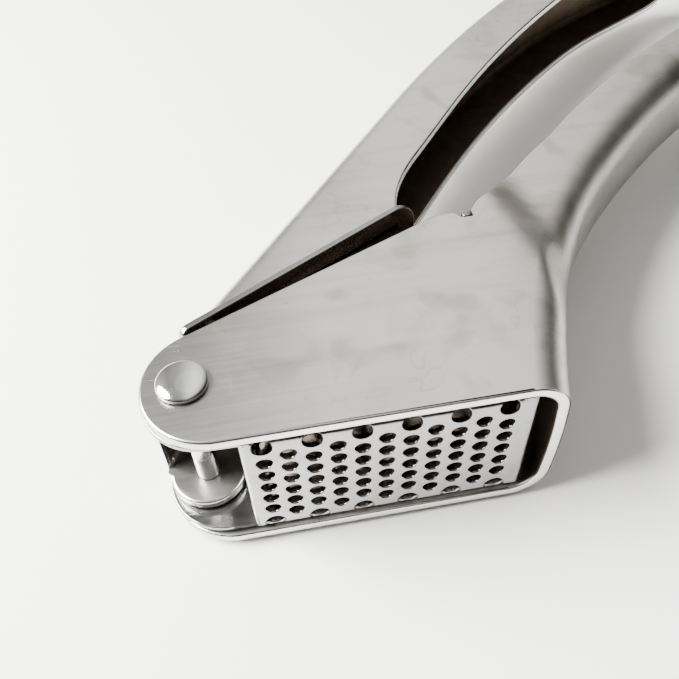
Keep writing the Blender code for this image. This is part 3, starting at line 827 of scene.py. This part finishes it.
class PRESS_OT_frame(bpy.types.Operator):
    """The cheeks, the web and the lower handle, in one sheet"""

    bl_idname = "press.frame"
    bl_label = "Frame and lower handle"

    BENDS = ((22.3, 137.0), (28.0, 89.5), (86.0, 198.0))
    DEPTHS = ((32.0, 13.6), (50.0, 10.6), (95.0, 8.4), (136.0, 8.4))
    SHOULDER = ((50.8, 14.6), (48.8, 29.0))
    SHOULDER_BLEND = 8.0
    TARNISH_FADE = (38, 45)

    def execute(self, context):
        s, fit = sizes("press_frame"), sizes("press_fit")
        track = Track((s.web, -s.front), s.web_heading, self.BENDS)
        shape = Channel(
            self.stations(s, track), self.half_width(s), s.corner, s.crown, s.sheet, fit.edge
        ).build()
        piece = new_object("frame_sheet", shape)
        carve(piece, bore())
        carve(piece, self.notch_cutter(s))
        steel = satin_steel("satin_frame", 0.0, self.TARNISH_FADE)
        finish_piece(piece, "frame", "frame_with_lower_handle", steel)
        return {"FINISHED"}

    def stations(self, s, track):
        centre, radius = tip_circle(s)
        corner, (left, right, top, bottom) = notch(s)
        first, depth = self.DEPTHS[0]
        web, heading = track.at(first)
        handle_start = web + depth * direction(heading + 90)
        lean = direction(s.back_angle)
        straight_end = back_line(s.back_length, s.back)
        stretches = (
            (arc(centre, radius, 270, 90 + s.back_angle, 48), 0.0, 7.0),
            (spread(back_line(centre.dot(lean), s.back), straight_end, 16), 7.8, 19.0),
            (curve_between(straight_end, corner, (left, top), 6), 19.3, 21.0),
            (spread((left, top), (right, top), 3), 21.6, 23.4),
            (curve_between((right, top), (right + 0.9, top + 2.0), handle_start, 14)[:-1], 23.8, 31.4),
        )
        return stations_over(stretches, track, 1) + HandleEnd.stations(track, 1, first, self.DEPTHS, 72)

    def half_width(self, s):
        """Half the width at a point, which steps down from the cheeks' to the handle's at the shoulder."""
        start, end = (Vector(point) for point in self.SHOULDER)
        line = (end - start).normalized()
        side = Vector((line.y, -line.x))

        def at(point):
            step = smooth((point - start).dot(side) / self.SHOULDER_BLEND + 0.5)
            return (s.width + (s.handle_width - s.width) * step) / 2

        return at

    def notch_cutter(self, s):
        corner, (left, right, top, bottom) = notch(s)
        foot = left + s.notch_slope
        blend = s.notch_depth / 6
        outline = [
            (left - 0.6, top + 5), (left - 0.3, top + 0.1), (left, top - 0.05),
            (foot - blend, bottom + blend), (foot + blend, bottom), (right, bottom), (right, top + 5),
        ]
        return new_object("notch_cutter", prism(outline, -s.width, s.width))


class PRESS_OT_upper_handle(bpy.types.Operator):
    """The channel that carries the plunger, with an ear on each side round the rivet"""

    bl_idname = "press.upper_handle"
    bl_label = "Upper handle"

    BENDS = ((70.4, 0.0), (55.0, 250.0), (36.0, 110.0))
    DEPTHS = ((58.0, 11.2), (90.0, 10.6), (161.4, 9.4))
    NOSE_RADIUS = 6.0
    NOSE_ADVANCE = 1.6
    NOSE_END = 150.0
    TARNISH_FADE = (6, 16)

    def execute(self, context):
        s, f, fit = sizes("press_handle"), sizes("press_frame"), sizes("press_fit")
        stations = self.stations(s, f, fit)
        half = s.width / 2
        shape = Channel(stations, lambda point: half, s.corner, 0.0, f.sheet, fit.edge).build()
        piece = new_object("upper_handle_sheet", shape, fit.opening)
        carve(piece, bore())
        brush_turn = math.radians(-s.heading - fit.opening)
        steel = satin_steel("satin_handle", brush_turn, self.TARNISH_FADE)
        finish_piece(piece, "handle", "upper_handle", steel)
        return {"FINISHED"}

    def stations(self, s, f, fit):
        back, ahead = direction(s.heading + 90), direction(s.heading)
        nose = back * (s.reach - self.NOSE_RADIUS) + ahead * self.NOSE_ADVANCE
        track = Track(nose + back * self.NOSE_RADIUS, s.heading, self.BENDS)
        seat = plate_reach() + s.plate + fit.gap
        fork = s.plate_start + s.plate_fork - fit.gap
        plate_end = s.plate_start + s.plate_length - s.plate_corner / 2
        first, depth = self.DEPTHS[0]
        web, heading = track.at(first)
        free_edge = web + depth * direction(heading - 90)
        turns = arc(nose, self.NOSE_RADIUS, self.NOSE_END, s.heading + 90, 8)
        ear = arc((0, 0), s.ear, 156, 210, 8)
        stations = [(turn, (nose - turn).normalized(), edge, 1.0) for turn, edge in zip(turns, ear)]
        guide = back_line(plate_end, seat) + 7.5 * direction(f.back_angle + 62)
        stretches = (
            (arc((0, 0), s.ear, 217, 372, 23), 0.3, 4.5),
            (spread(s.ear * direction(12), back_line(fork, plate_reach()), 5), 4.8, 7.5),
            ([back_line(fork, seat - 0.2), *spread(back_line(fork, seat), back_line(plate_end, seat), 18)],
             7.8, 42.0),
            (curve_between(back_line(plate_end, seat), guide, free_edge, 20)[:-1], 42.6, 57.2),
        )
        return (
            stations + stations_over(stretches, track, -1)
            + HandleEnd.stations(track, -1, first, self.DEPTHS, 60)
        )


class PRESS_OT_plunger(bpy.types.Operator):
    """The plate across the upper handle and the box that presses the garlic"""

    bl_idname = "press.plunger"
    bl_label = "Plunger"

    def execute(self, context):
        s, h = sizes("press_handle"), sizes("press_hopper")
        f, fit = sizes("press_frame"), sizes("press_fit")
        steel = bright_steel("bright_plunger")
        plate = new_object("plunger_plate_sheet", self.plate(s, f, fit), fit.opening)
        finish_piece(plate, "handle", "plunger_plate", steel)
        box = new_object("plunger_box_sheet", self.box(s, h, f, fit, 0.0), fit.opening)
        carve(box, new_object("hollow_cutter", self.box(s, h, f, fit, s.box_sheet), fit.opening))
        finish_piece(box, "handle", "plunger_box", steel)
        return {"FINISHED"}

    def plate(self, s, f, fit):
        half, slot = f.width / 2, sizes("press_handle").width / 2 + fit.gap
        end, fork = s.plate_start + s.plate_length, s.plate_start + s.plate_fork
        round_, prong = s.plate_corner, (half - slot) / 2
        outline = [
            *arc((end - round_, round_ - half), round_, 270, 360, 16),
            *arc((end - round_, half - round_), round_, 0, 90, 16),
            *arc((s.plate_start + prong, half - prong), prong, 90, 270, 16),
            (fork, slot), (fork, -slot),
            *arc((s.plate_start + prong, prong - half), prong, 90, 270, 16),
        ]
        shape = prism(outline, -s.plate, 0)
        soften(shape, s.plate / 4, 3, lambda point: True)
        # Marks the plate's face towards the hopper, which the steel paints with tarnish and shade.
        hidden = shape.verts.layers.float.new("inside")
        for vert in shape.verts:
            vert[hidden] = 1.0 if vert.co.z > -0.01 else 0.0
        tilt = Matrix.Rotation(math.radians(f.back_angle), 4, "Z") @ Matrix.Rotation(math.radians(90), 4, "X")
        seat = Matrix.Translation(back_line(0, plate_reach()).to_3d())
        bmesh.ops.transform(shape, matrix=seat @ tilt, verts=shape.verts)
        return shape

    def box(self, s, h, f, fit, inset):
        """The box's outside, or with an inset its hollow, which opens towards the plate."""
        half = h.width / 2 - h.sheet - fit.running - inset
        near = h.start + h.sheet + 0.4 + inset
        front = h.sheet + fit.running - h.front + inset
        radius = far_wall_radius(h) - h.sheet - fit.running - inset
        reach = plate_reach() - fit.gap + (1.0 if inset else 0.0)
        slope = math.radians(f.back_angle)
        low = math.degrees(math.asin(front / radius))
        high = f.back_angle + math.degrees(math.asin(reach / radius))
        rise = reach / math.cos(slope) + math.tan(slope) * near
        shape = prism([(near, rise), (near, front), *arc((0, 0), radius, low, high, 24)], -half, half)
        if not inset:
            soften(shape, s.box_corner, 5, lambda point: point.y < front + 0.01)
        # Marks the whole box, which the steel paints with tarnish and shade, as it lies hidden in the hopper.
        hidden = shape.verts.layers.float.new("inside")
        for vert in shape.verts:
            vert[hidden] = 1.0
        return shape


class PRESS_OT_hopper(bpy.types.Operator):
    """The perforated hopper with its ears, end walls and lip"""

    bl_idname = "press.hopper"
    bl_label = "Hopper"

    RIM_DROP = 0.5
    HOLE_SIDES = 28
    FLARE_STEPS = 3

    def execute(self, context):
        h, f, fit = sizes("press_hopper"), sizes("press_frame"), sizes("press_fit")
        piece = new_object("hopper_sheet", self.tray(h, f))
        carve(piece, new_object("chamber_cutter", self.chamber(h)))
        carve(piece, new_object("end_wall_cutter", self.above_near_wall(h)))
        for side in (-1, 1):
            carve(piece, new_object("ear_joiner", self.ear(h, f, side)), "UNION")
        carve(piece, new_object("lip_joiner", self.lip(h, f, fit)), "UNION")
        carve(piece, bore())
        carve(piece, new_object("perforation_cutter", self.perforations(h)))
        finish_piece(piece, "hopper", "hopper", bright_steel("bright_hopper"), 50)
        return {"FINISHED"}

    def rim(self, f, x, inset):
        """Height in plan of the rim, a little below the cheeks' back edges."""
        slope = math.radians(f.back_angle)
        return (f.back - inset) / math.cos(slope) + x * math.tan(slope)

    def tray(self, h, f):
        radius = far_wall_radius(h)
        low = -math.degrees(math.asin(h.front / radius))
        high = f.back_angle + math.degrees(math.asin((f.back - self.RIM_DROP) / radius))
        outline = [
            (h.start, self.rim(f, h.start, self.RIM_DROP)), (h.start, -h.front),
            *arc((0, 0), radius, low, high, 30),
        ]
        shape = prism(outline, -h.width / 2, h.width / 2)
        soften(shape, h.corner, 8, lambda point: point.y < 0.01 - h.front)
        return shape

    def chamber(self, h):
        wall, front = h.start + h.sheet, h.sheet - h.front
        radius = far_wall_radius(h) - h.sheet
        low = math.degrees(math.asin(front / radius))
        outline = [(wall, 60.0), (wall, front), *arc((0, 0), radius, low, 60, 42)]
        shape = prism(outline, h.sheet - h.width / 2, h.width / 2 - h.sheet)
        soften(shape, h.corner - h.sheet, 6, lambda point: point.y < 0.01 + front)
        return shape

    def above_near_wall(self, h):
        inside = h.width / 2 - h.sheet
        left, right = h.start - 5, h.start + h.sheet + 1
        return prism([(left, 60), (left, h.end_wall), (right, h.end_wall), (right, 60)], -inside, inside)

    def ear(self, h, f, side):
        centre = Vector((h.ear_along, -h.ear_drop))
        inner = h.start + 2.5
        outline = [
            *arc(centre, h.ear, 90 + f.back_angle, 270, 40),
            (inner, centre.y - h.ear), (inner, self.rim(f, inner, 0.8)),
        ]
        skin = 0.05
        low, high = sorted((side * (h.width / 2 - h.sheet + skin), side * (h.width / 2 - skin)))
        shape = prism(outline, low, high)
        soften(shape, 0.2, 2, lambda point: point.x < inner - 0.01)
        return shape

    def lip(self, h, f, fit):
        """The far wall's lip, whose two ends rest in the frame's notches."""
        corner, (left, right, top, bottom) = notch(f)
        low = bottom + fit.gap
        high = low + h.sheet
        start = math.sqrt((far_wall_radius(h) - h.sheet / 3) ** 2 - high**2)
        width, ends = f.width / 2 - f.sheet - fit.gap, f.width / 2
        left, right = left + f.notch_slope + fit.gap, right - fit.gap
        outline = [
            (start, -width), (left, -width), (left, -ends), (right, -ends),
            (right, ends), (left, ends), (left, width), (start, width),
        ]
        shape = prism(outline, low, high)
        soften(shape, 0.15, 2, lambda point: abs(point.y) > width + 0.1)
        upright = Matrix.Rotation(math.radians(-90), 3, "X")
        bmesh.ops.rotate(shape, cent=(0, 0, 0), verts=shape.verts, matrix=upright)
        return shape

    def perforations(self, h):
        """All the holes as one cutter: staggered columns, with the long columns' ends on the bends."""
        cutter = bmesh.new()
        bend = h.width / 2 - h.corner
        for column in range(h.columns):
            x = h.first + h.pitch * column
            holes = h.rows - column % 2
            for row in range(holes):
                z = h.row_pitch * (row - (holes - 1) / 2)
                if column % 2 == 0 and row in (0, holes - 1):
                    place = Matrix.Translation((x, h.corner - h.front, math.copysign(bend, z)))
                    tilt = math.copysign(h.bend_angle, z)
                    mouth, foot, radius = h.corner, h.corner - h.sheet - 0.6, h.bend_hole / 2
                else:
                    place = Matrix.Translation((x, -h.front, z))
                    tilt, mouth, foot, radius = 0, 0.0, -h.sheet - 1, h.hole / 2
                spin = Matrix.Rotation(math.radians(90 - tilt), 4, "X")
                self.punch(cutter, place @ spin, radius, foot, mouth, h.flare)
        return cutter

    def punch(self, cutter, place, radius, foot, mouth, flare):
        """Adds one hole's cutter, a drum along its own Z that widens at its mouth."""
        profile = [(radius, foot)]
        for i in range(self.FLARE_STEPS + 1):
            t = math.radians(75 * i / self.FLARE_STEPS)
            profile.append((radius + flare * (1 - math.cos(t)), mouth - flare + flare * math.sin(t)))
        profile += [(radius + flare, mouth + 0.02), (radius + flare, mouth + 1)]
        rings = []
        for r, z in profile:
            ring = arc((0, 0), r, 0, 360 * (1 - 1 / self.HOLE_SIDES), self.HOLE_SIDES - 1)
            rings.append([cutter.verts.new(place @ Vector((p.x, p.y, z))) for p in ring])
        for low, high in zip(rings, rings[1:]):
            for i in range(self.HOLE_SIDES):
                j = (i + 1) % self.HOLE_SIDES
                cutter.faces.new((low[i], low[j], high[j], high[i]))
        cutter.faces.new(rings[0][::-1])
        cutter.faces.new(rings[-1])


class PRESS_OT_rivet(bpy.types.Operator):
    """The rivet: a tubular pin with a domed head, and a stud with the head that the press lies on"""

    bl_idname = "press.rivet"
    bl_label = "Rivet"

    SIDES = 72

    def execute(self, context):
        s, half = sizes("press_rivet"), sizes("press_frame").width / 2
        steel = mirror_steel("mirror_rivet")
        pin = new_object("pivot_pin_turned", turned(self.pin(s, half), self.SIDES))
        finish_piece(pin, "frame", "pivot_pin", steel)
        stud = new_object("pivot_stud_turned", turned(self.stud(s, half), self.SIDES))
        finish_piece(stud, "frame", "pivot_stud", steel)
        return {"FINISHED"}

    def dome(self, s, rise, land):
        """(radius, height) points of a head from its middle out to its straight rim."""
        steps = 20
        points = [(0.0, rise)] if land else []
        for i in range(steps + 1):
            t = math.radians(90 * i / steps)
            reach = land + (s.head / 2 - land) * math.sin(t)
            points.append((reach, s.rim + (rise - s.rim) * math.cos(t)))
        return points

    def pin(self, s, half):
        seat = half + s.seat
        shank, tube = s.shank / 2, s.stud / 2 + s.bore
        depth = s.stud_length + sizes("press_fit").gap - half
        head = [(r, seat + z) for r, z in self.dome(s, s.rise, 0)]
        return [
            *head, (s.head / 2, seat + 0.08), (s.head / 2 - 0.08, seat), (shank, seat), (shank, 0.08 - half),
            (shank - 0.08, -half), (tube, -half), (tube, depth), (0, depth),
        ]

    def stud(self, s, half):
        seat, radius, tip = -half - s.seat, s.stud / 2, s.stud_length - half
        head = [(r, seat - z) for r, z in self.dome(s, s.cap_rise, s.land)]
        return [
            (0, tip), (radius - 0.15, tip), (radius, tip - 0.15), (radius, seat),
            (s.head / 2 - 0.08, seat), (s.head / 2, seat - 0.08), *reversed(head),
        ]


class PRESS_OT_stage(bpy.types.Operator):
    """Pale floor, soft lights and the camera"""

    bl_idname = "press.stage"
    bl_label = "Stage"

    FLOOR_SIZE = 4.0
    FLOOR_ROUGHNESS = 0.75
    FLOOR_SHINE = 0.3
    LIGHT_AIM = (0.03, 0.02, 0)
    WINDOW_PLACE, WINDOW_SIZE, WINDOW_TINT = (-0.34, 0.04, 0.27), 0.32, (1.0, 0.99, 0.97)
    OVERHEAD_PLACE, OVERHEAD_SIZE, OVERHEAD_TINT = (0.05, 0.30, 0.60), 0.50, (1.0, 0.99, 0.975)
    ROOM_STRENGTH = 1.65
    BRIGHT_SIDE = (-0.20, 0.50, 0.84)
    SENSOR = 36.0
    RISE = (
        (-0.30, (0.03, 0.026, 0.022)), (0.30, (0.16, 0.15, 0.14)), (0.65, (0.78, 0.77, 0.75)),
        (0.95, (1.0, 0.99, 0.97)),
    )
    SWEEP = (
        (-0.90, (0.70, 0.70, 0.70)), (-0.35, (0.25, 0.25, 0.25)), (-0.14, (0.36, 0.36, 0.36)),
        (0.14, (1.0, 1.0, 1.0)), (0.36, (0.92, 0.92, 0.92)),
        (0.60, (0.50, 0.49, 0.48)), (0.90, (0.14, 0.135, 0.13)),
    )

    def execute(self, context):
        settings = context.scene.press_stage
        self.floor(settings)
        self.light("window", self.WINDOW_PLACE, self.WINDOW_SIZE, settings.window, self.WINDOW_TINT)
        self.light(
            "overhead", self.OVERHEAD_PLACE, self.OVERHEAD_SIZE, settings.overhead, self.OVERHEAD_TINT
        )
        self.world()
        self.camera(settings)
        return {"FINISHED"}

    def floor(self, settings):
        bpy.ops.mesh.primitive_plane_add(size=self.FLOOR_SIZE, location=(0, 0, 0))
        floor = bpy.context.object
        floor.name = "floor"
        material = bpy.data.materials.new("pale_floor")
        material.use_nodes = True
        shader = material.node_tree.nodes["Principled BSDF"]
        shader.inputs["Base Color"].default_value = (*settings.floor, 1)
        shader.inputs["Roughness"].default_value = self.FLOOR_ROUGHNESS
        shader.inputs["Specular IOR Level"].default_value = self.FLOOR_SHINE
        floor.data.materials.append(material)

    def light(self, name, place, size, watts, tint):
        lamp = bpy.data.lights.new(name, "AREA")
        lamp.shape = "DISK"
        lamp.size = size
        lamp.energy = watts
        lamp.color = tint
        holder = bpy.data.objects.new(name, lamp)
        bpy.context.scene.collection.objects.link(holder)
        aim = PIVOT + Vector(self.LIGHT_AIM)
        holder.location = aim + Vector(place)
        holder.rotation_euler = (-Vector(place)).to_track_quat("-Z", "Y").to_euler()

    def world(self):
        """A soft room: bright behind and above, dim in front and low down on the right."""
        world = bpy.data.worlds.new("soft_room")
        bpy.context.scene.world = world
        room = Nodes(world)
        place = room.add("ShaderNodeTexCoord", output="Generated")

        def tones(toward, stops):
            settings = {"operation": "DOT_PRODUCT"}
            part = room.add("ShaderNodeVectorMath", settings, {0: place, 1: toward}, "Value")
            shift = room.add("ShaderNodeMapRange", inputs={"Value": part, "From Min": -1.0})
            settings = {"stops": [((at + 1) / 2, tone) for at, tone in stops]}
            return room.add("ShaderNodeValToRGB", settings, {"Fac": shift})

        rise = tones(self.BRIGHT_SIDE, self.RISE)
        both = room.mix(1.0, rise, tones((1.0, 0.0, 0.0), self.SWEEP), "MULTIPLY")
        background = room.tree.nodes["Background"]
        room.feed(background.inputs["Color"], both)
        room.feed(background.inputs["Strength"], self.ROOM_STRENGTH)

    def camera(self, settings):
        data = bpy.data.cameras.new("camera")
        data.lens = settings.lens / MM
        data.sensor_width = self.SENSOR
        data.clip_start = 0.005
        camera = bpy.data.objects.new("camera", data)
        bpy.context.scene.collection.objects.link(camera)
        camera.location = PIVOT + Vector(settings.eye)
        camera.rotation_euler = settings.gaze
        bpy.context.scene.camera = camera


class PRESS_PT_panel(bpy.types.Panel):
    """Lists the pieces and their sizes"""

    bl_idname = "PRESS_PT_panel"
    bl_label = "Garlic press"
    bl_space_type = "VIEW_3D"
    bl_region_type = "UI"
    bl_category = "Garlic press"

    def draw(self, context):
        for operator in OPERATORS:
            self.layout.operator(operator.bl_idname)
        for name in GROUPS:
            group = getattr(context.scene, name)
            box = self.layout.box()
            for field in group.bl_rna.properties:
                if field.identifier not in ("name", "rna_type"):
                    box.prop(group, field.identifier)


GROUPS = {
    "press_fit": PressFitSizes,
    "press_frame": PressFrameSizes,
    "press_handle": PressHandleSizes,
    "press_hopper": PressHopperSizes,
    "press_rivet": PressRivetSizes,
    "press_steel": PressSteelColours,
    "press_stage": PressStageSettings,
}
OPERATORS = (
    PRESS_OT_frame, PRESS_OT_upper_handle, PRESS_OT_plunger, PRESS_OT_hopper, PRESS_OT_rivet, PRESS_OT_stage,
)


def register():
    for name, group in GROUPS.items():
        bpy.utils.register_class(group)
        setattr(bpy.types.Scene, name, PointerProperty(type=group))
    for kind in (*OPERATORS, PRESS_PT_panel):
        bpy.utils.register_class(kind)


def unregister():
    for kind in reversed((*OPERATORS, PRESS_PT_panel)):
        bpy.utils.unregister_class(kind)
    for name, group in reversed(GROUPS.items()):
        delattr(bpy.types.Scene, name)
        bpy.utils.unregister_class(group)


def main():
    register()
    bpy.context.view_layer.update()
    bpy.ops.press.frame()
    bpy.ops.press.upper_handle()
    bpy.ops.press.plunger()
    bpy.ops.press.hopper()
    bpy.ops.press.rivet()
    bpy.ops.press.stage()


if __name__ == "__main__":
    main()
